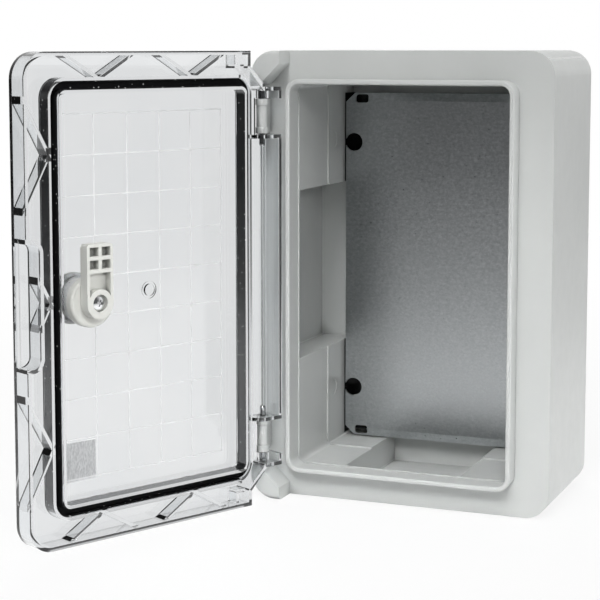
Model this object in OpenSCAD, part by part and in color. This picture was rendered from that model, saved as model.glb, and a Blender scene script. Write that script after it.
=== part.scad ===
// Wall cabinet for electrical equipment: a grey moulded housing with a clear hinged door, a foam
// seal, a steel mounting plate and a quarter-turn lock. Lengths are in millimetres.
// The back of the housing lies on y = 0 with its centre at the origin. The front faces -Y, +Z is up.

/* [Housing] */
// Width of the housing
body_w = 200; // [185:1:240]
// Height of the housing
body_h = 300; // [270:1:360]
// Depth of the housing, from the wall behind it to the face of its flange
body_d = 108; // [90:1:150]
// Thickness of the moulded walls
wall = 3; // [2.5:0.1:3.5]
// Radius of the four long corners
corner_r = 16; // [12:0.5:20]
// Radius of the edges round the back
back_edge_r = 6; // [3:0.5:8]

/* [Rim] */
// From the side of the housing to the rim
rim_side = 22.5; // [20:0.5:26]
// From the top or the bottom of the housing to the rim
rim_end = 18.6; // [17:0.1:24]
// Thickness of the rim
rim_t = 3.1; // [2.5:0.1:3.5]
// Height of the rim in front of the flange
rim_h = 13.2; // [11:0.1:14]
// Outer radius of the corners of the rim
rim_r = 9.5; // [7:0.5:12]
// Radius of the rim's front edges
rim_edge_r = 0.9; // [0.4:0.1:1.2]

/* [Corner columns] */
// Height of the recess between the columns in each side wall
side_recess = 114; // [90:1:140]
// Width of the recess between the columns in the top and bottom walls
end_recess = 80; // [60:1:96]
// Width of each moulded step down the faces of the columns
step = 0.8; // [0.4:0.1:1]
// Depth of the first step behind the flange
first_step = 2.5; // [1:0.5:3]
// Depth of the second step behind the flange
second_step = 55; // [30:1:70]
// Radius of the inner corners behind the first step
step_r = 3.4; // [2:0.1:5]
// Radius of the inner corners behind the second step
deep_r = 1; // [0.5:0.1:3]
// Radius of the round moulding marks on the columns
mark_r = 5.5; // [3:0.5:7]
// Depth of the moulding marks
mark_depth = 0.3; // [0.1:0.1:0.5]

/* [Wall fixing] */
// From the side of the housing to a fixing hole in the back
fix_side = 13.5; // [12:0.5:15]
// From the top or the bottom of the housing to a fixing hole
fix_end = 11.5; // [10.5:0.5:12.5]
// Radius of a fixing hole
fix_hole_r = 2.1; // [1.5:0.1:2.5]
// Radius of the boss round a fixing hole
fix_boss_r = 5; // [4:0.1:5.5]
// Depth of a fixing hole
fix_depth = 25; // [10:1:40]
// Thickness of the webs that tie a boss to the outer walls
fix_web = 2.4; // [1.6:0.1:3]

/* [Corner blocks on the hinge side] */
// Width of a corner block along the top
horn_w = 20.6; // [16:0.1:21.5]
// Length of the block's straight side, before it slants
horn_straight = 8.6; // [5:0.1:10]
// Height of the block along the side of the housing
horn_len = 22; // [18:0.5:22]
// How far the block stands in front of the flange
horn_h = 19; // [15:0.1:19]
// Radius of the block's front edges
horn_edge_r = 3; // [2.5:0.5:5]

/* [Mounting plate] */
// Gap between each side of the plate and the columns of the housing
plate_side_gap = 1.8; // [1:0.1:6]
// Gap above the plate
plate_top_gap = 6.5; // [2:0.1:12]
// Gap below the plate
plate_bottom_gap = 0.9; // [0.5:0.1:6]
// Thickness of the sheet
plate_t = 1.5; // [1:0.1:3]
// Size of the plate's cut corners
plate_corner = 6.5; // [4:0.5:7]
// Height of the bent strip along the plate's top and bottom edges
plate_lip = 5.5; // [4:0.5:8]
// How far the bent strips lean back
plate_lean = 10; // [0:1:15]
// Radius of the plate's four fixing holes, which open into its sides
plate_hole_r = 6.4; // [5:0.1:6.6]
// From the side of the plate to the middle of a fixing hole
plate_hole_side = 6; // [5.8:0.1:12]
// From the top or bottom of the plate to a fixing hole
plate_hole_end = 35; // [20:0.5:50]
// Width of the slots near the plate's corners
slot_w = 9.4; // [6:0.1:12]
// Height of the slots
slot_h = 6; // [5:0.1:8]
// Radius of the corners of the slots
slot_r = 1.8; // [0.5:0.1:2.2]
// From the side of the plate to the middle of a slot
slot_side = 12; // [11.8:0.1:25]
// Strip of metal left between a slot and the edge of the plate
slot_edge = 1.2; // [0.8:0.1:3]
// Height of the posts that carry the plate
post_h = 18.5; // [8:0.5:30]
// Radius of a post
post_r = 7.4; // [6.8:0.1:7.6]
// Radius of the bore in a post, which is open towards the side wall
post_bore_r = 6.2; // [4:0.1:6.4]

/* [Hinges] */
// From the side of the housing to the hinge axis
hinge_side = 7; // [6.5:0.1:8]
// From the face of the flange to the hinge axis
hinge_front = 15; // [14.5:0.1:15.5]
// From the top or bottom of the housing to the middle of a hinge
hinge_end = 43; // [42:0.5:60]
// Length of a hinge knuckle
knuckle_len = 23; // [15:0.5:24]
// Radius of a hinge knuckle
knuckle_r = 3.3; // [3:0.1:3.6]
// Radius of the collars at the ends of a knuckle
collar_r = 3.9; // [3.7:0.1:4]
// Length of a collar
collar_len = 4; // [2:0.5:6]
// How far the arm that carries a knuckle stays inside the knuckle's ends
arm_inset = 0.3; // [0.2:0.1:5]
// Width of the arm
arm_w = 4; // [3:0.1:4.4]
// From the hinge axis to the outer side of the arm
arm_side = 4.2; // [3.6:0.1:4.3]
// Width of the tongue that plugs an arm into the flange
tongue_w = 2.4; // [1.6:0.1:3]
// How far the tongue reaches past the back of the flange
tongue_out = 1.5; // [0.5:0.1:3]
// Radius of a hinge pin
pin_r = 2; // [1.5:0.1:2.4]
// Radial play of a pin in the ears of the door
pin_play = 0.05; // [0.02:0.01:0.1]
// Length of the bevel on the ends of a pin
pin_bevel = 1; // [0.4:0.1:1.2]
// How far the tip of a pin stands out of the inner ear
pin_out = 5.5; // [1:0.5:7]
// Radius of the outer ears of the door
ear_r = 4.3; // [3.8:0.1:4.4]
// Length of an outer ear
ear_len = 6.5; // [4:0.5:7]
// Thickness of an inner ear, which is a web across the edge of the door
ear_web = 2.4; // [1.6:0.1:3]
// Gap that the web leaves to the rim and the flange as the door swings
web_gap = 0.8; // [0.4:0.1:2]
// Gap between an ear and the end of a knuckle
ear_gap = 0.3; // [0.2:0.05:0.5]
// Gap between the collar of a knuckle and the door beside it
knuckle_gap = 0.5; // [0.3:0.1:0.6]

/* [Door] */
// Opening angle of the door as it is drawn
door_open = 116; // [0:1:165]
// From the face of the flange to the front of the closed door
door_front = 19.5; // [19:0.1:21]
// Gap between the flange and the edge of the closed door
door_gap = 3.5; // [1:0.1:5]
// Thickness of the door's sheet
door_sheet = 3; // [2.5:0.1:3.2]
// Thickness of the wall round the edge of the door
skirt_t = 2.5; // [2:0.1:3]
// Radius of the door's front edges
door_edge_r = 2; // [1:0.1:2.4]
// From the hinge side to the edge of the door beside a corner block
notch_w = 26.5; // [25:0.5:28]
// Straight side of the notch round a corner block
notch_straight = 10; // [8:0.5:12]
// Height of the notch along the hinge side
notch_len = 23.5; // [22:0.5:24]
// Radius of the moulding mark in the middle of the sheet
gate_r = 5.6; // [3:0.1:8]
// Depth of the moulding mark
gate_depth = 0.8; // [0.3:0.1:1]
// Radius of the stub inside the moulding mark
gate_stub_r = 3.8; // [2:0.1:4.5]
// How far the stub stands out of the sheet
gate_stub_h = 0.8; // [0.2:0.1:1.5]

/* [Seal and channel] */
// Width of the foam seal
seal_w = 5.3; // [4.5:0.1:6]
// Play between the seal and the walls of its channel
seal_play = 0.1; // [0.05:0.05:0.2]
// Gap between the seal and the rim with the door closed
seal_gap = 0.3; // [0.2:0.1:0.6]
// Thickness of the two lips where the foam climbs the walls of the channel
seal_lip_t = 0.6; // [0.3:0.1:0.7]
// How far the lips end below the tops of the walls
seal_lip_low = 1.5; // [1:0.1:3]
// Thickness of the channel's walls
channel_t = 2; // [1.5:0.1:2.4]
// Height of the channel's inner wall
channel_in_h = 10; // [6:0.5:11]
// Height of the channel's outer wall
channel_out_h = 9.5; // [6:0.5:11]
// Height of the outer wall beside the hinges
channel_low_h = 6; // [4:0.1:6.2]

/* [Zigzag ribs] */
// Thickness of a rib
rib_t = 2.2; // [1.5:0.1:3]
// Height of a rib
rib_h = 9; // [5:0.5:11]
// Spacing of the rib pairs along the top and bottom
end_rib_pitch = 72; // [50:1:76]
// Distance of their middle from the middle of the door, towards the free side
end_rib_shift = 7; // [0:1:12]
// Spread of each arm of a pair along the top and bottom
end_rib_reach = 26; // [15:1:30]
// Spacing of the rib pairs along the free side
side_rib_pitch = 89; // [70:1:95]
// Spread of each arm of a pair along the free side
side_rib_reach = 35; // [20:1:40]
// Width of the small square frame beside each notch
frame_rib_w = 9; // [7:0.5:14]

/* [Finger grip] */
// Length of the grip in the free side of the door
grip_len = 75; // [50:1:90]
// Depth of the grip
grip_depth = 10; // [6:0.5:12]
// Radius of its corners
grip_r = 6; // [3:0.5:8]
// Height of the lip along its edge
grip_lip = 3; // [1:0.5:5]

/* [Lock] */
// From the free side of the housing to the axis of the lock
lock_side = 43.5; // [42.5:0.5:50]
// Radius of the boss round the lock
lock_boss_r = 14.3; // [13:0.1:15]
// Height of the boss
lock_boss_h = 3; // [1:0.5:5]
// Radius of the lock's sleeve
sleeve_r = 11; // [10.4:0.1:11.5]
// Play between the sleeve and the door or a ring on it
sleeve_play = 0.15; // [0.05:0.05:0.3]
// Radius of the collar outside the door
collar_out_r = 16; // [15:0.5:18]
// Thickness of the collar outside the door
collar_out_t = 2; // [1.5:0.1:3]
// Thickness of the flat seal under that collar
lock_seal_t = 0.7; // [0.5:0.1:1.5]
// Radius of the nut that clamps the lock
nut_r = 13.4; // [12.5:0.1:14.2]
// Thickness of the nut
nut_t = 10.5; // [8:0.5:11]
// Radius of the stop disc behind the cam
disc_r = 15.7; // [14:0.1:16]
// Radius of the disc's edge
disc_edge_r = 2; // [0.5:0.5:3]
// Wall left between the disc's stop pocket and the sleeve
disc_wall = 1.2; // [0.8:0.1:2]
// Radius of the spindle
spindle_r = 7; // [6.5:0.1:7.4]
// Radius of the spindle's head
head_r = 8.8; // [8.2:0.1:9]
// Thickness of the spindle's head
head_t = 4; // [3:0.5:5]
// Radial play of the spindle
spindle_play = 0.08; // [0.03:0.01:0.1]
// Radius of the recess for the key
key_recess_r = 4.6; // [4:0.1:5]
// Depth of the recess for the key
key_recess_depth = 8; // [5:0.5:9]
// Radius of the key post
key_post_r = 1.5; // [1:0.1:2]
// Span of the key post's two wings
key_wing = 6.4; // [5:0.1:7.5]
// Thickness of the wings
key_wing_t = 1.5; // [1:0.1:2]
// Section radius of the spindle's sealing ring
ring_r = 0.8; // [0.6:0.05:1]

/* [Cam] */
// Gap between the back of the flange and the cam
cam_gap = 0.4; // [0.3:0.1:1]
// Gap between the stop disc and the cam
cam_clear = 0.4; // [0.3:0.1:1]
// Thickness of the cam
cam_t = 7; // [5.5:0.5:9]
// Width of the cam
cam_w = 19; // [16:0.5:22]
// Length of the cam from the axis to its tip
cam_len = 36; // [35.5:0.5:38]
// Radius of the corners at its tip
cam_tip_r = 2.5; // [1:0.5:4]
// Thickness of the cam's outer walls round the pockets
cam_rail = 2; // [1.5:0.1:2.4]
// Thickness of the webs between the pockets
cam_web = 2.4; // [1.6:0.1:3]
// Height of a small pocket
pocket_h = 5.4; // [4:0.1:5.6]
// Thickness of the cam's floor under the pockets
cam_floor = 1.8; // [1:0.1:2.5]
// Side of the spindle's square end
square_w = 6; // [5:0.1:6.2]
// Play between the cam and the square
square_play = 0.05; // [0.02:0.01:0.1]
// Radius of the recess round the cam's screw
screw_recess_r = 5.3; // [5:0.1:6]
// Depth of the recess
screw_recess = 3; // [2.8:0.1:3.4]
// Radius of the screw's head
screw_head_r = 4.6; // [4.5:0.1:4.8]
// Height of the screw's head
screw_head_h = 2.6; // [2:0.1:2.7]
// Radius of the screw's shank
screw_r = 2; // [1.5:0.1:2.2]
// Length of the screw's shank
screw_len = 14; // [8:0.5:15]

/* [Hidden] */
$fn = 64;

grey = "#c9cbc9";
cam_grey = "#c6c7c0";
steel = "#8d9193";
black = "#161718";
clear = "#dfe6ea80";

// Cutting solids run this far past the faces that they cut
past = 1;
// Small seating play between pieces that are pressed together
press_play = 0.02;

half_w = body_w / 2;
half_h = body_h / 2;

// Middle line of the rim, which the seal presses on
line_w = body_w - 2 * rim_side - rim_t;
line_h = body_h - 2 * rim_end - rim_t;
line_r = rim_r - rim_t / 2;

// Clear opening inside the rim, and its half sizes behind the second step
open_w = line_w - rim_t;
open_h = line_h - rim_t;
open_r = line_r - rim_t / 2;
deep_x = open_w / 2 - 2 * step;
deep_z = open_h / 2 - 2 * step;

fix_x = half_w - fix_side;
fix_z = half_h - fix_end;

plate_w = 2 * (deep_x - plate_side_gap);
plate_h = 2 * deep_z - plate_top_gap - plate_bottom_gap;
plate_low = (plate_top_gap - plate_bottom_gap) / 2;
plate_back = wall + post_h;
plate_hole_x = plate_w / 2 - plate_hole_side;
plate_hole_z = plate_h / 2 - plate_hole_end;

axis_x = hinge_side - half_w;
axis_y = -body_d - hinge_front;
hinge_z = half_h - hinge_end;
arm_len = knuckle_len - 2 * arm_inset;
web_r = min(rim_side - hinge_side, hinge_front) - web_gap;

// Levels of the door and lock, as distances in front of the flange
sheet_in = door_front - door_sheet;
seal_face = rim_h + seal_gap;
channel_half = seal_w / 2 + seal_play;
boss_face = sheet_in - lock_boss_h;
collar_face = door_front + lock_seal_t + collar_out_t;
disc_front = boss_face - nut_t;
cam_front = -wall - cam_gap;
disc_face = cam_front + cam_clear;
cam_back = cam_front - cam_t;
screw_seat = cam_back + screw_recess;
lock_x = half_w - lock_side;

// Places a flat outline in the front view and gives it depth, between two distances before the flange
module slab(front, back) {
    translate([0, -body_d - back, 0])
        rotate([90, 0, 0])
            linear_extrude(front - back)
                children();
}

// Rectangle with round corners
module rounded(w, h, r) {
    square([w - 2 * r, h], center = true);
    square([w, h - 2 * r], center = true);
    for (x = [-1, 1], z = [-1, 1])
        translate([x * (w / 2 - r), z * (h / 2 - r)])
            circle(r);
}

// Band that follows the rim's middle line, between two distances outside it
module band(outer, inner) {
    difference() {
        rounded(line_w + 2 * outer, line_h + 2 * outer, line_r + outer);
        rounded(line_w + 2 * inner, line_h + 2 * inner, line_r + inner);
    }
}

// Half section of a tray's side: a wall with a round edge on its far end
module tray_side(r, d, e) {
    square([r, d - e]);
    square([r - e, d]);
    translate([r - e, d - e])
        circle(e);
}

// Sweeps a profile round a rectangle with round corners. Its x runs out from a corner's centre
module swept(w, h, r) {
    x = w / 2 - r;
    y = h / 2 - r;
    for (turn = [0, 180])
        rotate(turn) {
            translate([x, y, 0])
                rotate([90, 0, 0])
                    linear_extrude(2 * y)
                        children();
            translate([-x, y, 0])
                rotate([90, 0, 90])
                    linear_extrude(2 * x)
                        children();
            translate([x, y, 0])
                rotate_extrude(angle = 90)
                    children();
            translate([-x, y, 0])
                rotate(90)
                    rotate_extrude(angle = 90)
                        children();
        }
}

// Solid tray with round corners and a round edge, rising along +Z
module tray(w, h, d, r, e) {
    translate([r - w / 2, r - h / 2, 0])
        cube([w - 2 * r, h - 2 * r, d]);
    swept(w, h, r)
        tray_side(r, d, e);
}

// Draws its children at the upper and lower end, mirrored about the middle height
module both_ends() {
    children();
    mirror([0, 0, 1])
        children();
}

// Turns a piece of the closed door to the drawn opening angle
module swing() {
    translate([axis_x, axis_y, 0])
        rotate(-door_open)
            translate([-axis_x, -axis_y, 0])
                children();
}

// Frame of the lock: z runs out of the door from the flange, y is up
module lock_place() {
    swing()
        translate([lock_x, -body_d, 0])
            rotate([90, 0, 0])
                children();
}

// Round piece of the lock between two levels
module turned(front, back, r) {
    translate([0, 0, back])
        cylinder(r = r, h = front - back);
}

// Space between the corner columns, narrowing at the two steps
module inner_space() {
    slab(rim_h + past, -first_step)
        rounded(open_w, open_h, open_r);
    slab(-first_step, -second_step)
        rounded(open_w - 2 * step, open_h - 2 * step, step_r);
    slab(-second_step, wall - body_d)
        rounded(2 * deep_x, 2 * deep_z, deep_r);
    slab(-wall, wall - body_d) {
        square([body_w - 2 * wall, side_recess], center = true);
        square([end_recess, body_h - 2 * wall], center = true);
    }
}

// Hollow of one corner column, open at the back, as an outline
module column_outline() {
    intersection() {
        rounded(body_w - 2 * wall, body_h - 2 * wall, corner_r - wall);
        union() {
            translate([deep_x + wall, side_recess / 2 + wall])
                square([half_w, half_h]);
            translate([end_recess / 2 + wall, deep_z + wall])
                square([half_w, half_h]);
        }
    }
}

// Fixing boss and its two webs inside a column, as an outline
module fix_outline() {
    translate([fix_x, fix_z])
        circle(fix_boss_r);
    translate([fix_x, fix_z - fix_web / 2])
        square([fix_side - wall / 2, fix_web]);
    translate([fix_x - fix_web / 2, fix_z])
        square([fix_web, fix_end - wall / 2]);
}

// Section that rounds the rim's inner front edge
module rim_edge() {
    difference() {
        translate([open_r, rim_h - rim_edge_r])
            square([rim_edge_r, rim_edge_r + past]);
        translate([open_r + rim_edge_r, rim_h - rim_edge_r])
            circle(rim_edge_r);
    }
}

module horn_outline() {
    slant = horn_len - horn_straight;
    polygon([
        [-half_w - past, half_h + past],
        [horn_w - half_w, half_h + past],
        [horn_w - half_w, half_h - horn_straight],
        [horn_w - half_w - slant, half_h - horn_len],
        [-half_w - past, half_h - horn_len]
    ]);
}

// Slot in the flange, or the tongue that fills it with no play
module hinge_tongue(front, back, play) {
    tongue_h = arm_len - arm_w + tongue_w;
    slab(front, back)
        translate([axis_x - arm_side + arm_w / 2, hinge_z])
            square([tongue_w + 2 * play, tongue_h + 2 * play], center = true);
}

module housing() {
    color(grey)
    difference() {
        union() {
            difference() {
                translate([0, -body_d, 0])
                    rotate([-90, 0, 0])
                        tray(body_w, body_h, body_d, corner_r, back_edge_r);
                for (x = [0, 1], z = [0, 1])
                    mirror([x, 0, 0])
                        mirror([0, 0, z])
                            slab(-wall, -body_d - past)
                                difference() {
                                    column_outline();
                                    fix_outline();
                                }
            }
            translate([0, -body_d + wall / 2, 0])
                rotate([90, 0, 0])
                    tray(line_w + rim_t, line_h + rim_t, rim_h + wall / 2, rim_r, rim_edge_r);
            both_ends()
                intersection() {
                    translate([0, -body_d + wall / 2, 0])
                        rotate([90, 0, 0])
                            tray(body_w, body_h, horn_h + wall / 2, corner_r, horn_edge_r);
                    slab(horn_h + past, -wall)
                        horn_outline();
                }
        }
        difference() {
            inner_space();
            plate_posts();
        }
        translate([0, -body_d, 0])
            rotate([90, 0, 0])
                swept(open_w, open_h, open_r)
                    rim_edge();
        for (x = [-1, 1], z = [-1, 1])
            translate([x * deep_x, -body_d + second_step + 2 * mark_r, z * (side_recess + half_h) / 3])
                rotate([0, 90, 0])
                    cylinder(r = mark_r, h = 2 * mark_depth, center = true);
        both_ends()
            hinge_tongue(past, -wall - past, press_play);
        for (x = [-1, 1], z = [-1, 1])
            translate([x * fix_x, past, z * fix_z])
                rotate([90, 0, 0])
                    cylinder(r = fix_hole_r, h = fix_depth + past);
    }
}

// Half-round posts on the back wall, under the inner edges of the plate's fixing holes
module plate_posts() {
    for (x = [0, 1], z = [-1, 1])
        mirror([x, 0, 0])
            translate([plate_hole_x, -wall + past, z * plate_hole_z - plate_low])
                rotate([90, 0, 0])
                    difference() {
                        cylinder(r = post_r, h = post_h + past);
                        translate([0, 0, -past])
                            cylinder(r = post_bore_r, h = post_h + 3 * past);
                        translate([0, -post_r - past, -past])
                            cube([post_r + past, 2 * (post_r + past), post_h + 3 * past]);
                    }
}

// Upper hinge knuckle: a collared barrel on an arm that plugs into the flange
module hinge_knuckle() {
    difference() {
        union() {
            translate([axis_x, axis_y, hinge_z - knuckle_len / 2])
                cylinder(r = knuckle_r, h = knuckle_len);
            for (end = [0, 1])
                translate([axis_x, axis_y, hinge_z - knuckle_len / 2 + end * (knuckle_len - collar_len)])
                    cylinder(r = collar_r, h = collar_len);
            slab(hinge_front, 0)
                translate([axis_x - arm_side, hinge_z - arm_len / 2])
                    square([arm_w, arm_len]);
            hinge_tongue(past, -wall - tongue_out, 0);
        }
        translate([axis_x, axis_y, hinge_z - knuckle_len])
            cylinder(r = pin_r + press_play, h = 2 * knuckle_len);
    }
}

module upper_hinge_knuckle() {
    color(grey)
        hinge_knuckle();
}

module lower_hinge_knuckle() {
    color(grey)
        mirror([0, 0, 1])
            hinge_knuckle();
}

// Upper hinge pin, flush with the outer ear and with its tip below the inner one
module hinge_pin() {
    up = knuckle_len / 2 + ear_gap + ear_len;
    down = knuckle_len / 2 + ear_gap + ear_web + pin_out;
    length = up + down;
    tip_r = pin_r - pin_bevel / 2;
    translate([axis_x, axis_y, hinge_z - down]) {
        cylinder(r1 = tip_r, r2 = pin_r, h = pin_bevel);
        translate([0, 0, pin_bevel])
            cylinder(r = pin_r, h = length - 2 * pin_bevel);
        translate([0, 0, length - pin_bevel])
            cylinder(r1 = pin_r, r2 = tip_r, h = pin_bevel);
    }
}

module upper_hinge_pin() {
    color(steel)
        hinge_pin();
}

module lower_hinge_pin() {
    color(steel)
        mirror([0, 0, 1])
            hinge_pin();
}

// Bent profile of the plate, with its face towards -X and its height along Y
module plate_profile() {
    flat = plate_h / 2 - plate_lip;
    back = plate_lip * sin(plate_lean);
    polygon([
        [0, -flat],
        [back, -plate_h / 2],
        [back + plate_t, -plate_h / 2],
        [plate_t, -flat],
        [plate_t, flat],
        [back + plate_t, plate_h / 2],
        [back, plate_h / 2],
        [0, flat]
    ]);
}

module mounting_plate() {
    color(steel)
    translate([0, -plate_back - plate_t, -plate_low])
    difference() {
        rotate([90, 0, 90])
            translate([0, 0, -plate_w / 2])
                linear_extrude(plate_w)
                    plate_profile();
        for (x = [-1, 1], z = [-1, 1]) {
            translate([x * plate_hole_x, plate_t + past, z * plate_hole_z])
                rotate([90, 0, 0])
                    cylinder(r = plate_hole_r, h = plate_t + 2 * past);
            translate([x * (plate_w / 2 - slot_side), plate_lip, z * (plate_h / 2 - slot_edge - slot_h / 2)])
                rotate([90, 0, 0])
                    linear_extrude(plate_lip + past)
                        rounded(slot_w, slot_h, slot_r);
            translate([x * plate_w / 2, plate_lip, z * plate_h / 2])
                rotate([90, 0, 0])
                    linear_extrude(plate_lip + past)
                        rotate(45)
                            square(plate_corner * sqrt(2), center = true);
        }
    }
}

// Notch in the upper corner of the door, grown by an inset
module notch_outline(inset) {
    slant = notch_len - notch_straight;
    grow = inset * (sqrt(2) - 1);
    x0 = notch_w - half_w + inset;
    polygon([
        [-half_w - past, half_h + past],
        [x0, half_h + past],
        [x0, half_h - notch_straight - grow],
        [x0 - slant - inset + 2 * grow, half_h - notch_len - inset],
        [-half_w - past, half_h - notch_len - inset]
    ]);
}

// Straight bar of a rib between two points
module bar(p, q) {
    d = q - p;
    translate(p)
        rotate(atan2(d[1], d[0]))
            translate([0, -rib_t / 2])
                square([norm(d), rib_t]);
}

// Pairs of slanting ribs between the seal's channel and the edge of the door
module rib_outline() {
    wall_x = line_w / 2 + channel_half + channel_t / 2;
    wall_z = line_h / 2 + channel_half + channel_t / 2;
    for (side = [-1, 1], k = [-1, 1], arm = [-1, 1]) {
        apex = end_rib_shift + k * end_rib_pitch / 2;
        bar([apex, side * wall_z], [apex + arm * end_rib_reach, side * (half_h - skirt_t / 2)]);
    }
    for (k = [-1, 0, 1], arm = [-1, 1]) {
        apex = k * side_rib_pitch;
        bar([wall_x, apex], [half_w - skirt_t / 2, apex + arm * side_rib_reach]);
    }
    for (side = [-1, 1]) {
        corner = [notch_w - half_w + frame_rib_w, side * (half_h - notch_straight)];
        bar([corner[0], side * (half_h - skirt_t / 2)], corner);
        bar(corner + [rib_t / 2, 0], [notch_w - half_w + skirt_t / 2, corner[1]]);
    }
}

// Pocket of the finger grip with round inner corners, grown by the wall round it
module grip_outline(grow) {
    r = grip_r + grow;
    translate([half_w + r, 0])
        rounded(2 * (grip_depth + grow + r), grip_len + 2 * grow, r);
}

// Outer form of the door, with its notches, and the hollow inside its edge
module door_blank() {
    difference() {
        translate([0, -body_d - door_gap, 0])
            rotate([90, 0, 0])
                tray(body_w, body_h, door_front - door_gap, corner_r, door_edge_r);
        both_ends()
            slab(door_front + past, door_gap - past)
                notch_outline(0);
        slab(sheet_in, door_gap - past)
            difference() {
                rounded(body_w - 2 * skirt_t, body_h - 2 * skirt_t, corner_r - skirt_t);
                notch_outline(skirt_t);
                mirror([0, 1])
                    notch_outline(skirt_t);
                grip_outline(skirt_t);
            }
    }
}

// Stretch of a band beside the hinges, up to the ends of its round corners
module hinge_end_of_band(outer) {
    translate([-line_w / 2 - outer - past, -half_h])
        square([outer + past + line_r, body_h]);
}

// Channel that holds the seal, lower beside the hinges so that it swings past the rim
module seal_channel() {
    outer = channel_half + channel_t;
    difference() {
        slab(sheet_in + door_sheet / 2, sheet_in - channel_out_h)
            band(outer, channel_half);
        slab(sheet_in - channel_low_h, door_gap - past)
            hinge_end_of_band(outer);
    }
    slab(sheet_in + door_sheet / 2, sheet_in - channel_in_h)
        band(-channel_half, -channel_half - channel_t);
}

// Ear above the upper knuckle and the web below it, joined to the sheet
module hinge_ears() {
    root = sheet_in + door_sheet / 2 - hinge_front;
    edge = skirt_t / 2 - hinge_side;
    channel_x = half_w - hinge_side - line_w / 2 - channel_half - channel_t / 2;
    translate([axis_x, axis_y, hinge_z + knuckle_len / 2 + ear_gap]) {
        cylinder(r = ear_r, h = ear_len);
        translate([edge, -root, 0])
            cube([hinge_side, root, ear_len]);
    }
    translate([axis_x, axis_y, hinge_z - knuckle_len / 2 - ear_gap - ear_web])
        intersection() {
            cylinder(r = web_r, h = ear_web);
            translate([edge, -root, 0])
                cube([channel_x - edge, root + hinge_front - door_gap, ear_web]);
        }
}

module door_panel() {
    knuckle_room = knuckle_len + 2 * ear_gap;
    knuckle_side = collar_r + knuckle_gap;
    color(clear)
    swing()
    difference() {
        union() {
            door_blank();
            seal_channel();
            slab(sheet_in + door_sheet / 2, sheet_in - rib_h)
                rib_outline();
            both_ends()
                hinge_ears();
            translate([lock_x, -body_d, 0])
                rotate([90, 0, 0])
                    turned(sheet_in + door_sheet / 2, boss_face, lock_boss_r);
            translate([0, -body_d, 0])
                rotate([90, 0, 0])
                    turned(sheet_in + door_sheet / 2, sheet_in - gate_stub_h, gate_stub_r);
        }
        // Finger grip, up to the lip along the edge of the sheet
        difference() {
            slab(sheet_in, door_gap - past)
                grip_outline(0);
            slab(sheet_in + past, sheet_in - grip_lip)
                translate([half_w - skirt_t, -half_h])
                    square([skirt_t, body_h]);
        }
        both_ends() {
            // Window for the knuckle and its arm, then the bores for the pin
            translate([-half_w - past, -body_d - door_front - past, hinge_z - knuckle_room / 2])
                cube([hinge_side + knuckle_side + past, door_front + 2 * past, knuckle_room]);
            translate([axis_x, axis_y, hinge_z - half_h])
                cylinder(r = pin_r + pin_play, h = body_h);
        }
        translate([lock_x, -body_d, 0])
            rotate([90, 0, 0])
                turned(door_front + past, door_gap, sleeve_r + sleeve_play);
        translate([0, -body_d, 0])
            rotate([90, 0, 0])
                difference() {
                    turned(sheet_in + gate_depth, door_gap, gate_r);
                    turned(sheet_in + gate_depth, sheet_in - gate_stub_h, gate_stub_r);
                }
    }
}

// Foam seal with a groove for the rim between two lips, the outer one lower beside the hinges
module door_seal() {
    edge = seal_w / 2;
    color(black)
    swing() {
        slab(sheet_in, seal_face)
            band(edge, -edge);
        slab(sheet_in, sheet_in - channel_in_h + seal_lip_low)
            band(seal_lip_t - edge, -edge);
        difference() {
            slab(sheet_in, sheet_in - channel_out_h + seal_lip_low)
                band(edge, edge - seal_lip_t);
            slab(sheet_in - channel_low_h + seal_lip_low, door_gap)
                hinge_end_of_band(edge);
        }
    }
}

// Sleeve that passes through the door, with a bevelled collar outside
module lock_sleeve() {
    bevel = collar_out_t / 2;
    color(cam_grey)
    lock_place()
    difference() {
        union() {
            turned(collar_face - bevel, door_front + lock_seal_t, collar_out_r);
            translate([0, 0, collar_face - bevel])
                cylinder(r1 = collar_out_r, r2 = collar_out_r - bevel, h = bevel);
            turned(door_front + lock_seal_t + bevel / 2, disc_face, sleeve_r);
        }
        turned(collar_face + past, disc_face - past, spindle_r + spindle_play);
        turned(collar_face + past, collar_face - head_t - spindle_play, head_r + spindle_play);
    }
}

module lock_seal() {
    color(black)
        lock_place()
            difference() {
                turned(door_front + lock_seal_t, door_front, collar_out_r - lock_seal_t);
                turned(door_front + past, door_front - past, sleeve_r + sleeve_play);
            }
}

module lock_nut() {
    color(cam_grey)
        lock_place()
            difference() {
                turned(boss_face, disc_front, nut_r);
                turned(boss_face + past, disc_front - past, sleeve_r + press_play);
            }
}

// Disc with a round edge that backs the cam, with a stop pocket in its rim
module stop_disc() {
    pocket = disc_r - sleeve_r - disc_wall;
    color(cam_grey)
    lock_place()
    difference() {
        rotate_extrude()
            difference() {
                union() {
                    translate([0, disc_face])
                        square([disc_r - disc_edge_r, disc_front - disc_face]);
                    translate([0, disc_face + disc_edge_r])
                        square([disc_r, disc_front - disc_face - disc_edge_r]);
                    translate([disc_r - disc_edge_r, disc_face + disc_edge_r])
                        circle(disc_edge_r);
                }
                translate([0, disc_face - past])
                    square([sleeve_r + press_play, disc_front - disc_face + 2 * past]);
            }
        translate([-disc_r, disc_r - pocket, disc_face - past])
            cube([disc_r, pocket + past, disc_edge_r + past]);
    }
}

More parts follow.
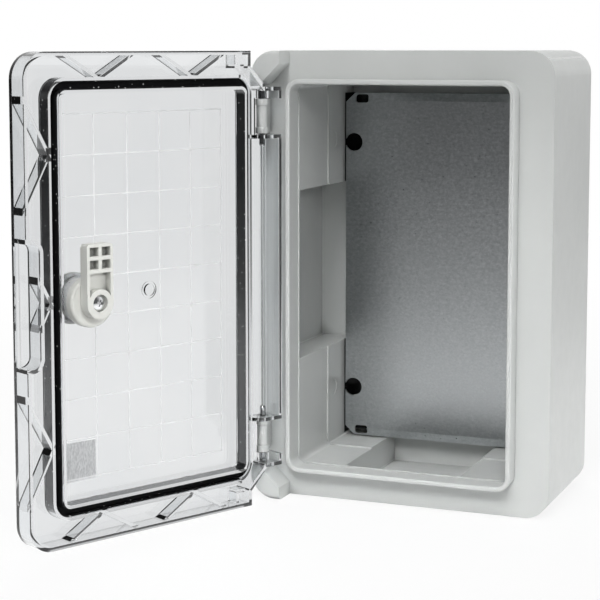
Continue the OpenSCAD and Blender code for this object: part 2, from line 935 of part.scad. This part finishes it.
// Spindle with a round head for the key, a groove for its ring and a square end in the cam
module lock_spindle() {
    groove_z = (collar_face + disc_face) / 2;
    end = screw_seat + square_play;
    color(cam_grey)
    lock_place()
    difference() {
        union() {
            turned(collar_face, collar_face - head_t, head_r);
            turned(collar_face - head_t / 2, cam_front, spindle_r);
            translate([-square_w / 2, -square_w / 2, end])
                cube([square_w, square_w, cam_front - end + past]);
        }
        turned(collar_face + past, collar_face - key_recess_depth, key_recess_r);
        turned(end + screw_len + past, end - past, screw_r + press_play);
        translate([0, 0, groove_z])
            rotate_extrude()
                translate([spindle_r - 2 * ring_r + spindle_play, -ring_r - press_play])
                    square(2 * (ring_r + press_play));
    }
}

module spindle_ring() {
    color(black)
        lock_place()
            translate([0, 0, (collar_face + disc_face) / 2])
                rotate_extrude()
                    translate([spindle_r - ring_r + spindle_play + press_play, 0])
                        circle(ring_r - 2 * press_play);
}

// Post with two wings at the bottom of the key recess
module key_insert() {
    floor_z = collar_face - key_recess_depth;
    base_t = key_recess_depth / 6;
    color(steel)
        lock_place() {
            turned(floor_z + base_t, floor_z, key_recess_r - press_play);
            turned(collar_face - base_t, floor_z, key_post_r);
            translate([-key_wing / 2, -key_wing_t / 2, floor_z])
                cube([key_wing, key_wing_t, key_recess_depth - 2 * base_t]);
        }
}

// Outline of the cam, pointing up, with a round end on the axis
module cam_outline() {
    w = cam_w / 2;
    circle(w);
    translate([-w, 0])
        square([cam_w, cam_len - cam_tip_r]);
    translate([cam_tip_r - w, 0])
        square([cam_w - 2 * cam_tip_r, cam_len]);
    for (x = [-1, 1])
        translate([x * (w - cam_tip_r), cam_len - cam_tip_r])
            circle(cam_tip_r);
}

// Two rows of small pockets at the tip and one wide pocket that ends at the ring round the screw
module cam_pockets() {
    inner = cam_w - 2 * cam_rail;
    pocket_w = (inner - cam_web) / 2;
    row = pocket_h + cam_web;
    top = cam_len - cam_rail;
    for (x = [-1, 1], k = [0, 1])
        translate([x * (pocket_w + cam_web) / 2 - pocket_w / 2, top - k * row - pocket_h])
            square([pocket_w, pocket_h]);
    difference() {
        translate([-inner / 2, 0])
            square([inner, top - 2 * row]);
        circle(cam_w / 2 - cam_rail / 2);
    }
}

module lock_cam() {
    hole = square_w + 2 * square_play;
    color(cam_grey)
    lock_place()
    difference() {
        translate([0, 0, cam_back])
            linear_extrude(cam_t)
                cam_outline();
        translate([0, 0, cam_back - past])
            linear_extrude(cam_t - cam_floor + past)
                cam_pockets();
        turned(screw_seat, cam_back - past, screw_recess_r);
        translate([-hole / 2, -hole / 2, cam_back])
            cube([hole, hole, cam_t + past]);
    }
}

// Pan-head screw with a cross recess, which holds the cam on the spindle
module cam_screw() {
    dome = screw_head_h / 2;
    dome_r = (screw_head_r * screw_head_r + dome * dome) / (2 * dome);
    cross = screw_head_r * 0.9;
    cross_t = screw_head_r * 0.24;
    color(steel)
    lock_place()
    difference() {
        union() {
            turned(screw_seat + screw_len - past, screw_seat - dome / 2, screw_r);
            intersection() {
                turned(screw_seat, screw_seat - screw_head_h, screw_head_r);
                translate([0, 0, screw_seat - screw_head_h + dome_r])
                    sphere(dome_r);
            }
        }
        for (turn = [0, 90])
            rotate(turn + 20)
                translate([-cross / 2, -cross_t / 2, screw_seat - screw_head_h - past])
                    cube([cross, cross_t, dome + past]);
    }
}

housing();
upper_hinge_knuckle();
lower_hinge_knuckle();
upper_hinge_pin();
lower_hinge_pin();
mounting_plate();
door_panel();
door_seal();
lock_sleeve();
lock_seal();
lock_nut();
stop_disc();
lock_spindle();
spindle_ring();
key_insert();
lock_cam();
cam_screw();
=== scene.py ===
import math

import bpy
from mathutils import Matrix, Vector


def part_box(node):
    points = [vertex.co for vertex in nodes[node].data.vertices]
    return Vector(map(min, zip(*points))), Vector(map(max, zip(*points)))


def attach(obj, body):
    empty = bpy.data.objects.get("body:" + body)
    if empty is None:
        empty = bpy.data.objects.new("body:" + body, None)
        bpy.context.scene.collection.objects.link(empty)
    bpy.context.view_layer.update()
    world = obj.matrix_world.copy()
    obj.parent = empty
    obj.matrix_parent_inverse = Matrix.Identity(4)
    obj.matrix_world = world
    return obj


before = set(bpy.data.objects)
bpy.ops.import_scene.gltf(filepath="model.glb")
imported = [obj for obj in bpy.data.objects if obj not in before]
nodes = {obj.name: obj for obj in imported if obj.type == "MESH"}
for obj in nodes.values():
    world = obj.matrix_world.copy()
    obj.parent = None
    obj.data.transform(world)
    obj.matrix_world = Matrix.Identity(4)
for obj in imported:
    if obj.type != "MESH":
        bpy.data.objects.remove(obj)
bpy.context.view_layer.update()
scene = bpy.context.scene

# Sizes of the part that the scene relies on, in metres

# Depth of the housing, from its back at y = 0 to the face of its flange, and half its height
BODY_D = 0.108
HALF_H = 0.150
# A depth between the two faces of the housing's back wall
BACK_SKIN = 0.002
# Axis of the hinge, and how far the door is open in the drawn pose
HINGE = Vector((-0.093, -0.123, 0.0))
DOOR_OPEN = math.radians(116.0)
# Inner face of the door's sheet, by its distance in front of the flange when the door is closed
SHEET_IN = 0.0165

# The housing's polished walls start this far inside its outer faces and behind the flange's face
POLISH_INSET = 0.004
POLISH_LIP = 0.001
# Painted shade fills the shut space behind the mounting plate and reaches this far past the plate's sides
UNLIT_PAST = 0.003
# Width of the soft edge of such a zone
ZONE_EDGE = 0.0006

WHITE = (1.0, 1.0, 1.0)
# Colour of the painted shade in slots, holes and gaps
PAINTED_NOOK_DARK = (0.02, 0.02, 0.02)
# Colour of the painted shade in the shut space behind the mounting plate
PAINTED_UNLIT_DARK = (0.012, 0.012, 0.012)
PLASTIC_IOR = 1.5
CLEAR_IOR = 1.58


# Node helpers: a value is a number, a colour of three numbers or the output of another node


def dress(tree, node, values):
    """Set or link a node's inputs, which are given by name or by number."""
    for key, value in values.items():
        socket = node.inputs[key]
        if isinstance(value, bpy.types.NodeSocket):
            tree.links.new(value, socket)
        elif isinstance(value, tuple):
            socket.default_value = (*value, 1.0)
        else:
            socket.default_value = value


def add(tree, kind, values=None, **settings):
    node = tree.nodes.new(kind)
    for key, value in settings.items():
        setattr(node, key, value)
    dress(tree, node, values or {})
    return node


def material(name):
    mat = bpy.data.materials.new(name)
    mat.use_nodes = True
    return mat, mat.node_tree, mat.node_tree.nodes["Principled BSDF"]


def place(tree):
    return add(tree, "ShaderNodeTexCoord").outputs["Object"]


def stretched(tree, at, scale):
    mapping = add(tree, "ShaderNodeMapping", {"Vector": at})
    mapping.inputs["Scale"].default_value = scale
    return mapping.outputs["Vector"]


def axes(tree, at):
    return add(tree, "ShaderNodeSeparateXYZ", {0: at}).outputs


def calc(tree, operation, *values, clamp=False):
    numbers = dict(enumerate(values))
    return add(tree, "ShaderNodeMath", numbers, operation=operation, use_clamp=clamp).outputs[0]


def noise(tree, at, scale, detail=3.0, rough=0.55):
    values = {"Vector": at, "Scale": scale, "Detail": detail, "Roughness": rough}
    return add(tree, "ShaderNodeTexNoise", values).outputs["Fac"]


def cells(tree, at, scale):
    return add(tree, "ShaderNodeTexVoronoi", {"Vector": at, "Scale": scale}).outputs


def spread(tree, fac, low, high, start=0.35, stop=0.65, curve="LINEAR"):
    """Low where fac is at start, high where it is at stop, and between them in between."""
    values = {"Value": fac, "From Min": start, "From Max": stop, "To Min": low, "To Max": high}
    return add(tree, "ShaderNodeMapRange", values, interpolation_type=curve).outputs["Result"]


def ramp(tree, fac, stops):
    node = add(tree, "ShaderNodeValToRGB", {"Fac": fac})
    elements = node.color_ramp.elements
    while len(elements) < len(stops):
        elements.new(0.5)
    for element, (position, colour) in zip(elements, stops):
        element.position = position
        element.color = (*colour, 1.0)
    return node.outputs["Color"]


def bump(tree, height, strength, distance, under=None):
    values = {"Height": height, "Strength": strength, "Distance": distance}
    if under is not None:
        values["Normal"] = under
    return add(tree, "ShaderNodeBump", values).outputs["Normal"]


def blend(tree, fac, a, b):
    """Colour a where fac is 0 and b where it is 1."""
    return add(tree, "ShaderNodeMix", {0: fac, 6: a, 7: b}, data_type="RGBA").outputs[2]


def between(tree, fac, a, b):
    """Number a where fac is 0 and b where it is 1."""
    return add(tree, "ShaderNodeMix", {0: fac, 2: a, 3: b}).outputs[0]


def mix_shaders(tree, fac, a, b):
    """Shader a where fac is 0 and b where it is 1."""
    return add(tree, "ShaderNodeMixShader", {0: fac, 1: a, 2: b}).outputs[0]


def painted_nook_shade(tree, reach, alone):
    """Painted shade: 1 on open faces, falling towards 0 in slots, holes and gaps narrower than the reach.
    """
    shade = add(tree, "ShaderNodeAmbientOcclusion", {"Distance": reach}, samples=12, only_local=alone)
    return spread(tree, shade.outputs["AO"], 0.0, 1.0, start=0.06, stop=0.52)


def beyond(tree, at, low, high):
    """0 inside the box between two corners and 1 outside it."""
    along = axes(tree, at)
    out = 0.0
    for axis, a, b in zip("XYZ", low, high):
        half = (b - a) / 2
        off = calc(tree, "ABSOLUTE", calc(tree, "SUBTRACT", along[axis], (a + b) / 2))
        out = calc(tree, "MAXIMUM", out, spread(tree, off, 0.0, 1.0, start=half - ZONE_EDGE, stop=half))
    return out


def painted_unlit_shade(tree, at):
    """0 in the shut space between the mounting plate and the housing's back, where no light gets and where
    shade is painted.
    """
    low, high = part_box("mounting_plate")
    front = (low[0] - UNLIT_PAST, high[1], low[2])
    back = (high[0] + UNLIT_PAST, -BACK_SKIN, high[2])
    return beyond(tree, at, front, back)


def outside(tree, at):
    """0 on the housing's inner walls, which are polished, and 1 on its textured outer faces."""
    low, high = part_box("housing")
    front = (low[0] + POLISH_INSET, -BODY_D + POLISH_LIP, low[2] + POLISH_INSET)
    back = (high[0] - POLISH_INSET, -BACK_SKIN, high[2] - POLISH_INSET)
    return beyond(tree, at, front, back)


# Materials


def moulded(name, dark, light, rough, grain=2600.0, depth=0.00004, specular=0.5, nook_shade_reach=0.014, shell=False):
    """Moulded plastic: a spark-eroded grain, a slow drift of tone, faint flow marks and painted shade in
    slots, holes and gaps.

    The housing's shell also has polished inner walls and painted shade in the shut space behind its plate.
    """
    mat, tree, bsdf = material(name)
    at = place(tree)
    tone = noise(tree, at, scale=14.0, detail=4.0, rough=0.6)
    base = ramp(tree, tone, [(0.3, dark), (0.7, light)])
    # Painted shade: slots, holes and gaps darken towards near black
    base = blend(tree, painted_nook_shade(tree, nook_shade_reach, alone=not shell), PAINTED_NOOK_DARK, base)
    wear = noise(tree, at, scale=90.0, detail=5.0)
    satin = spread(tree, wear, rough - 0.05, rough + 0.06)
    if shell:
        # Painted shade: the space behind the mounting plate goes near black
        base = blend(tree, painted_unlit_shade(tree, at), PAINTED_UNLIT_DARK, base)
        polished = spread(tree, wear, 0.11, 0.16)
        satin = between(tree, outside(tree, at), polished, satin)
    flow = noise(tree, at, scale=32.0, detail=1.0, rough=0.4)
    fine = noise(tree, at, scale=grain, detail=2.0, rough=0.5)
    marks = bump(tree, flow, strength=0.06, distance=0.0006)
    dress(tree, bsdf, {
        "Base Color": base,
        "Roughness": satin,
        "Normal": bump(tree, fine, strength=0.22, distance=depth, under=marks),
        "Specular IOR Level": specular,
        "IOR": PLASTIC_IOR,
    })
    return mat


def clear_plastic():
    """Polished clear polycarbonate that lets the lamps through to what is behind it."""
    mat, tree, bsdf = material("clear_polycarbonate")
    at = place(tree)
    cloud = noise(tree, at, scale=22.0)
    haze = noise(tree, at, scale=60.0, detail=4.0)
    wave = noise(tree, at, scale=18.0, detail=1.0, rough=0.4)
    dress(tree, bsdf, {
        "Base Color": ramp(tree, cloud, [(0.35, (0.932, 0.948, 0.960)), (0.65, (0.962, 0.974, 0.982))]),
        "Roughness": spread(tree, haze, 0.0, 0.035),
        "Normal": bump(tree, wave, strength=0.05, distance=0.0008),
        "Transmission Weight": 1.0,
        "IOR": CLEAR_IOR,
    })
    lamps = add(tree, "ShaderNodeLightPath").outputs["Is Shadow Ray"]
    through = add(tree, "ShaderNodeBsdfTransparent", {"Color": (0.93, 0.94, 0.95)})
    tint = add(tree, "ShaderNodeVolumeAbsorption", {"Color": (0.52, 0.53, 0.54), "Density": 8.0})
    dress(tree, tree.nodes["Material Output"], {
        "Surface": mix_shaders(tree, lamps, bsdf.outputs[0], through.outputs[0]),
        "Volume": tint.outputs[0],
    })
    return mat


def frosted(name, dark, light, rough, weight):
    """Matt plastic that lets some light through, mottled in upright streaks."""
    mat, tree, bsdf = material(name)
    at = place(tree)
    mottle = noise(tree, stretched(tree, at, (1.0, 1.0, 0.35)), scale=1000.0, detail=5.0, rough=0.65)
    matt = noise(tree, at, scale=900.0)
    grain = noise(tree, at, scale=3000.0, detail=2.0)
    dress(tree, bsdf, {
        "Base Color": ramp(tree, mottle, [(0.36, dark), (0.64, light)]),
        "Roughness": spread(tree, matt, rough - 0.08, rough + 0.08),
        "Normal": bump(tree, grain, strength=0.2, distance=0.00003),
        "Transmission Weight": weight,
        "IOR": CLEAR_IOR,
    })
    return mat


def foam():
    """Black poured foam with a fine open grain, a faint skin and specks of lint."""
    mat, tree, bsdf = material("seal_foam")
    at = place(tree)
    dust = noise(tree, at, scale=420.0, detail=6.0, rough=0.7)
    black = ramp(tree, dust, [
        (0.35, (0.004, 0.004, 0.0045)), (0.68, (0.012, 0.012, 0.013)), (0.80, (0.06, 0.06, 0.062)),
    ])
    lint = spread(tree, cells(tree, at, scale=260.0)["Distance"], 1.0, 0.0, start=0.10, stop=0.14)
    pores = cells(tree, at, scale=1500.0)["Distance"]
    skin = bump(tree, noise(tree, at, scale=160.0), strength=0.25, distance=0.0003)
    dress(tree, bsdf, {
        "Base Color": blend(tree, lint, black, (0.60, 0.60, 0.60)),
        "Roughness": spread(tree, dust, 0.62, 0.88),
        "Normal": bump(tree, pores, strength=0.35, distance=0.0002, under=skin),
        "Specular IOR Level": 0.28,
    })
    return mat


def zinc_sheet():
    """Hot-dip galvanised sheet: small spangles under a rolling haze."""
    mat, tree, bsdf = material("galvanised_sheet")
    at = place(tree)
    spangles = add(tree, "ShaderNodeSeparateColor", {"Color": cells(tree, at, scale=900.0)["Color"]})
    haze = noise(tree, stretched(tree, at, (0.6, 1.0, 1.0)), scale=520.0, detail=5.0, rough=0.7)
    mixed = calc(tree, "MULTIPLY_ADD", spangles.outputs[0], 0.22, haze)
    dress(tree, bsdf, {
        "Base Color": ramp(tree, mixed, [
            (0.35, (0.38, 0.40, 0.41)), (0.62, (0.46, 0.48, 0.49)), (0.9, (0.56, 0.58, 0.59)),
        ]),
        "Roughness": spread(tree, mixed, 0.26, 0.42, start=0.3, stop=0.95),
        "Normal": bump(tree, mixed, strength=0.14, distance=0.00006),
        "Metallic": 1.0,
    })
    return mat


def steel(name, colour, rough):
    """Zinc-plated turned steel with fine scratches."""
    mat, tree, bsdf = material(name)
    scratch = noise(tree, place(tree), scale=1200.0, detail=5.0, rough=0.7)
    dark = tuple(0.8 * c for c in colour)
    dress(tree, bsdf, {
        "Base Color": ramp(tree, scratch, [(0.35, dark), (0.7, colour)]),
        "Roughness": spread(tree, scratch, rough - 0.08, rough + 0.08),
        "Normal": bump(tree, scratch, strength=0.08, distance=0.00003),
        "Metallic": 1.0,
    })
    return mat


GREY = moulded("grey_abs", (0.585, 0.60, 0.59), (0.625, 0.64, 0.63), rough=0.42, shell=True)
LOCK = moulded("lock_grey", (0.585, 0.59, 0.56), (0.63, 0.635, 0.60), rough=0.36, grain=2200.0,
               depth=0.00003, nook_shade_reach=0.006)
RUBBER = moulded("pale_rubber", (0.80, 0.81, 0.81), (0.85, 0.86, 0.86), rough=0.62, grain=1800.0,
                 specular=0.35)
CLEAR = clear_plastic()
FOAM = foam()
ZINC = zinc_sheet()
BRIGHT = steel("bright_steel", (0.90, 0.91, 0.92), rough=0.15)
PIN = steel("pin_steel", (0.50, 0.51, 0.52), rough=0.16)
GRID = frosted("grid_mark", (0.77, 0.78, 0.79), (0.83, 0.84, 0.85), rough=0.45, weight=0.10)
FIELD = frosted("label_field", (0.46, 0.47, 0.48), (0.76, 0.77, 0.78), rough=0.50, weight=0.35)
NYLON = frosted("natural_nylon", (0.86, 0.87, 0.87), (0.92, 0.93, 0.93), rough=0.35, weight=0.45)

LOOKS = {
    "housing": GREY, "upper_hinge_knuckle": GREY, "lower_hinge_knuckle": GREY,
    "upper_hinge_pin": PIN, "lower_hinge_pin": PIN, "mounting_plate": ZINC,
    "door_panel": CLEAR, "door_seal": FOAM, "lock_seal": RUBBER, "spindle_ring": FOAM,
    "lock_sleeve": LOCK, "lock_nut": NYLON, "stop_disc": LOCK, "lock_spindle": LOCK, "lock_cam": LOCK,
    "key_insert": BRIGHT, "cam_screw": BRIGHT,
}
for name, mat in LOOKS.items():
    mesh = nodes[name].data
    mesh.materials.clear()
    mesh.materials.append(mat)
    for poly in mesh.polygons:
        poly.material_index = 0


def new_piece(name, verts, faces, mat):
    mesh = bpy.data.meshes.new(name)
    mesh.from_pydata(verts, [], faces)
    mesh.validate()
    mesh.update()
    mesh.materials.append(mat)
    piece = bpy.data.objects.new(name, mesh)
    scene.collection.objects.link(piece)
    return piece


# Pieces on the door's sheet

# Width of a raised line, and how far the marks stand off the sheet so that no faces coincide
LINE_W = 0.0008
MARK_GAP = 0.00002
# Heights of the grid, of the frame round the bare field and of the field itself
GRID_UP = 0.00012
FRAME_UP = 0.00022
FIELD_UP = 0.00008
# The grid's squares, from its lower left corner
GRID_PITCH = 0.025
GRID_X = [-0.0585 + GRID_PITCH * k for k in range(6)]
GRID_Z = [-0.1125 + GRID_PITCH * k for k in range(10)]
# Middles of the lines that frame the field, and the side of the field between them
FIELD_X = (0.042, 0.068)
FIELD_Z = (-0.114, -0.089)
FIELD_SIDE = 0.0242


def door_point(x, front, z):
    """A point of the closed door, by its distance in front of the flange, in the drawn pose."""
    dx, dy = x - HINGE.x, -BODY_D - front - HINGE.y
    c, s = math.cos(DOOR_OPEN), math.sin(DOOR_OPEN)
    return Vector((HINGE.x + dx * c + dy * s, HINGE.y - dx * s + dy * c, z))


def lattice(name, xs, zs, width, height, mat):
    """Raised lines along xs and zs on the inner face of the door, as one closed mesh."""
    def cuts(at):
        return sorted([a - width / 2 for a in at] + [a + width / 2 for a in at])

    cx, cz = cuts(xs), cuts(zs)
    nx, nz = len(cx) - 1, len(cz) - 1
    foot = SHEET_IN - MARK_GAP
    filled = {(i, j) for i in range(nx) for j in range(nz) if i % 2 == 0 or j % 2 == 0}
    verts, index, faces = [], {}, []

    def vert(i, j, top):
        key = (i, j, top)
        if key not in index:
            index[key] = len(verts)
            verts.append(door_point(cx[i], foot - (height if top else 0.0), cz[j]))
        return index[key]

    for i, j in sorted(filled):
        ring = [(i, j), (i + 1, j), (i + 1, j + 1), (i, j + 1)]
        faces.append([vert(a, b, True) for a, b in reversed(ring)])
        faces.append([vert(a, b, False) for a, b in ring])
        for k, (di, dj) in enumerate([(0, -1), (1, 0), (0, 1), (-1, 0)]):
            if (i + di, j + dj) not in filled:
                (a, b), (c, d) = ring[k], ring[(k + 1) % 4]
                faces.append([vert(a, b, False), vert(a, b, True), vert(c, d, True), vert(c, d, False)])
    piece = new_piece(name, verts, faces, mat)
    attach(piece, "door")


lattice("door_grid", GRID_X, GRID_Z, LINE_W, GRID_UP, GRID)
lattice("label_frame", FIELD_X, FIELD_Z, LINE_W, FRAME_UP, GRID)
lattice("label_field", [sum(FIELD_X) / 2], [sum(FIELD_Z) / 2], FIELD_SIDE, FIELD_UP, FIELD)

# Pieces on the hinge knuckles

# Outer radius of a collar, and its inner one, which lies inside the knuckle's barrel
COLLAR_R = 0.0042
COLLAR_IN = 0.0030
# Length of a collar, size of its bevels and steps of its turn
COLLAR_LEN = 0.0044
COLLAR_EDGE = 0.0003
COLLAR_STEPS = 64
# Edges that turn by more than this stay sharp
SHARP_ANGLE = math.radians(30.0)


def knuckle_collars(name, node):
    """A proud band round each end of a hinge knuckle, turned about the hinge's axis."""
    low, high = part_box(node)
    verts, faces = [], []
    for start in (low[2], high[2] - COLLAR_LEN):
        stop = start + COLLAR_LEN
        profile = [
            (COLLAR_IN, start), (COLLAR_R - COLLAR_EDGE, start), (COLLAR_R, start + COLLAR_EDGE),
            (COLLAR_R, stop - COLLAR_EDGE), (COLLAR_R - COLLAR_EDGE, stop), (COLLAR_IN, stop),
        ]
        first, count = len(verts), len(profile)
        for step in range(COLLAR_STEPS):
            turn = math.tau * step / COLLAR_STEPS
            for r, z in profile:
                verts.append((HINGE.x + r * math.cos(turn), HINGE.y + r * math.sin(turn), z))
            here = first + step * count
            there = first + (step + 1) % COLLAR_STEPS * count
            for k in range(count):
                n = (k + 1) % count
                faces.append((here + k, there + k, there + n, here + n))
    piece = new_piece(name, verts, faces, GREY)
    piece.data.shade_smooth()
    piece.data.set_sharp_from_angle(angle=SHARP_ANGLE)
    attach(piece, "housing")


knuckle_collars("upper_knuckle_collars", "upper_hinge_knuckle")
knuckle_collars("lower_knuckle_collars", "lower_hinge_knuckle")

# Studio

# Side of the floor, its distance below the object and its colour
FLOOR_SIDE = 40.0
FLOOR_GAP = 0.0004
FLOOR_GREY = (0.86, 0.86, 0.86)
# Level of the world's plain light on the object
AMBIENT = 0.14


def studio_floor():
    """A white floor for the camera and the clear door, which gloss mirrors as a lit table top."""
    bpy.ops.mesh.primitive_plane_add(size=FLOOR_SIDE, location=(0, 0, -HALF_H - FLOOR_GAP))
    floor = bpy.context.object
    floor.name = "studio_floor"
    mat, tree, bsdf = material("studio_white")
    dress(tree, bsdf, {"Base Color": FLOOR_GREY, "Roughness": 0.9, "Specular IOR Level": 0.0})
    ray = add(tree, "ShaderNodeLightPath").outputs
    spot = add(tree, "ShaderNodeNewGeometry").outputs["Position"]
    reach = add(tree, "ShaderNodeVectorMath", {0: spot}, operation="LENGTH").outputs["Value"]

    # White to the camera and through the door, less so near the object, which keeps its shadow
    seen = calc(tree, "MAXIMUM", ray["Is Camera Ray"], ray["Is Transmission Ray"])
    fade = spread(tree, reach, 0.87, 1.0, start=0.3, stop=1.6, curve="SMOOTHSTEP")
    level = calc(tree, "MULTIPLY_ADD", ray["Is Transmission Ray"], -0.19, 1.0)
    glow = add(tree, "ShaderNodeEmission", {"Color": WHITE, "Strength": level})
    plain = mix_shaders(tree, calc(tree, "MULTIPLY", seen, fade), bsdf.outputs[0], glow.outputs[0])

    # In gloss, a bright table round the object that darkens with distance
    table = ramp(tree, spread(tree, reach, 0.0, 1.0, start=0.0, stop=3.0), [
        (0.13, WHITE), (0.20, (0.72, 0.72, 0.72)), (0.38, (0.20, 0.20, 0.20)), (1.0, (0.05, 0.05, 0.05)),
    ])
    mirrored = add(tree, "ShaderNodeEmission", {"Color": table, "Strength": 1.25})

    # Rays reflected inside the clear plastic also see that table where it lies far in front
    front = spread(tree, axes(tree, spot)["Y"], 1.0, 0.0, start=-0.45, stop=0.05)
    far = spread(tree, reach, 0.0, 1.0, start=0.45, stop=0.90)
    bounced = calc(tree, "MINIMUM", ray["Glossy Depth"], 1.0)
    dim = calc(tree, "MULTIPLY", calc(tree, "MULTIPLY", front, far), bounced)
    lit = calc(tree, "MULTIPLY", ray["Is Transmission Ray"], calc(tree, "SUBTRACT", 1.0, dim))
    gloss = calc(tree, "SUBTRACT", ray["Is Glossy Ray"], lit, clamp=True)
    surface = mix_shaders(tree, gloss, plain, mirrored.outputs[0])
    dress(tree, tree.nodes["Material Output"], {"Surface": surface})
    floor.data.materials.append(mat)


def studio_world():
    """White to the camera, a room with a dark ceiling through the door, and a plain light on the object."""
    world = bpy.data.worlds.new("studio")
    scene.world = world
    world.use_nodes = True
    tree = world.node_tree
    tree.nodes.clear()
    ray = add(tree, "ShaderNodeLightPath").outputs
    way = axes(tree, add(tree, "ShaderNodeTexCoord").outputs["Generated"])

    # The front of the room is dark in gloss, and in rays reflected inside the clear plastic
    backdrop = spread(tree, way["Y"], 0.10, 0.9, start=-0.35, stop=0.45, curve="SMOOTHSTEP")
    behind = spread(tree, way["Y"], 0.08, 1.0, start=-0.30, stop=0.45, curve="SMOOTHSTEP")
    bounced = calc(tree, "MINIMUM", ray["Glossy Depth"], 1.0)
    ceiling = spread(tree, way["Z"], 0.88, 0.10, start=0.16, stop=0.42, curve="SMOOTHSTEP")
    room = calc(tree, "MULTIPLY", ceiling, between(tree, bounced, 1.0, behind))

    def background(strength):
        return add(tree, "ShaderNodeBackground", {"Color": WHITE, "Strength": strength}).outputs[0]

    sky = background(AMBIENT)
    sky = mix_shaders(tree, ray["Is Glossy Ray"], sky, background(backdrop))
    sky = mix_shaders(tree, ray["Is Transmission Ray"], sky, background(room))
    sky = mix_shaders(tree, ray["Is Camera Ray"], sky, background(1.0))
    add(tree, "ShaderNodeOutputWorld", {"Surface": sky})


def softbox(name, at, aim, size, power, beam=180.0, mirrored=False):
    """A rectangular lamp with a beam in degrees. Only a mirrored one shows in gloss and clear plastic."""
    data = bpy.data.lights.new(name, "AREA")
    data.shape = "RECTANGLE"
    data.size, data.size_y = size
    data.energy = power
    data.spread = math.radians(beam)
    lamp = bpy.data.objects.new(name, data)
    lamp.location = at
    lamp.rotation_euler = (Vector(aim) - Vector(at)).to_track_quat("-Z", "Y").to_euler()
    lamp.visible_glossy = mirrored
    lamp.visible_transmission = mirrored
    scene.collection.objects.link(lamp)


studio_floor()
studio_world()
softbox("key", at=(0.16, -1.98, 1.58), aim=(0.0, -0.06, 0.0), size=(0.4, 0.4), power=14.0, mirrored=True)
softbox("top", at=(0.08, -0.95, 1.70), aim=(0.0, -0.08, -0.10), size=(0.9, 0.9), power=14.5)
softbox("side", at=(1.6, 0.15, 0.25), aim=(0.0, -0.05, 0.0), size=(0.8, 0.8), power=9.0)
softbox("back", at=(-0.90, 1.50, 0.90), aim=(0.0, 0.0, 0.0), size=(0.8, 0.8), power=24.0)
# Two narrow beams: on the lower flange and the housing's floor, and on the open door
softbox("low", at=(0.24, -0.80, 0.35), aim=(0.03, -0.08, -0.16), size=(0.3, 0.16), power=0.14, beam=36.0)
softbox("door", at=(0.75, -0.75, 0.45), aim=(-0.2, -0.3, 0.0), size=(0.12, 0.12), power=0.18, beam=36.0)

# Camera at the photograph's angle

# Place in metres, tilt and turn in degrees, and shift as a share of the picture
CAMERA_AT = (0.3585, -1.1730, 0.1550)
CAMERA_DOWN = 6.11
CAMERA_TURN = 22.01
CAMERA_SHIFT = -0.12
# Focal length and side of the photograph in pixels, and the width of the sensor in millimetres
FOCAL_PX = 1729.0
PHOTO_PX = 600.0
SENSOR = 36.0

cam_data = bpy.data.cameras.new("camera")
cam = bpy.data.objects.new("camera", cam_data)
scene.collection.objects.link(cam)
cam.location = CAMERA_AT
cam.rotation_euler = (math.radians(90.0 - CAMERA_DOWN), 0.0, math.radians(CAMERA_TURN))
cam_data.sensor_width = SENSOR
cam_data.lens = FOCAL_PX / PHOTO_PX * SENSOR
cam_data.shift_y = CAMERA_SHIFT
cam_data.clip_start = 0.01
cam_data.clip_end = 100.0
scene.camera = cam
scene.view_settings.view_transform = "Standard"
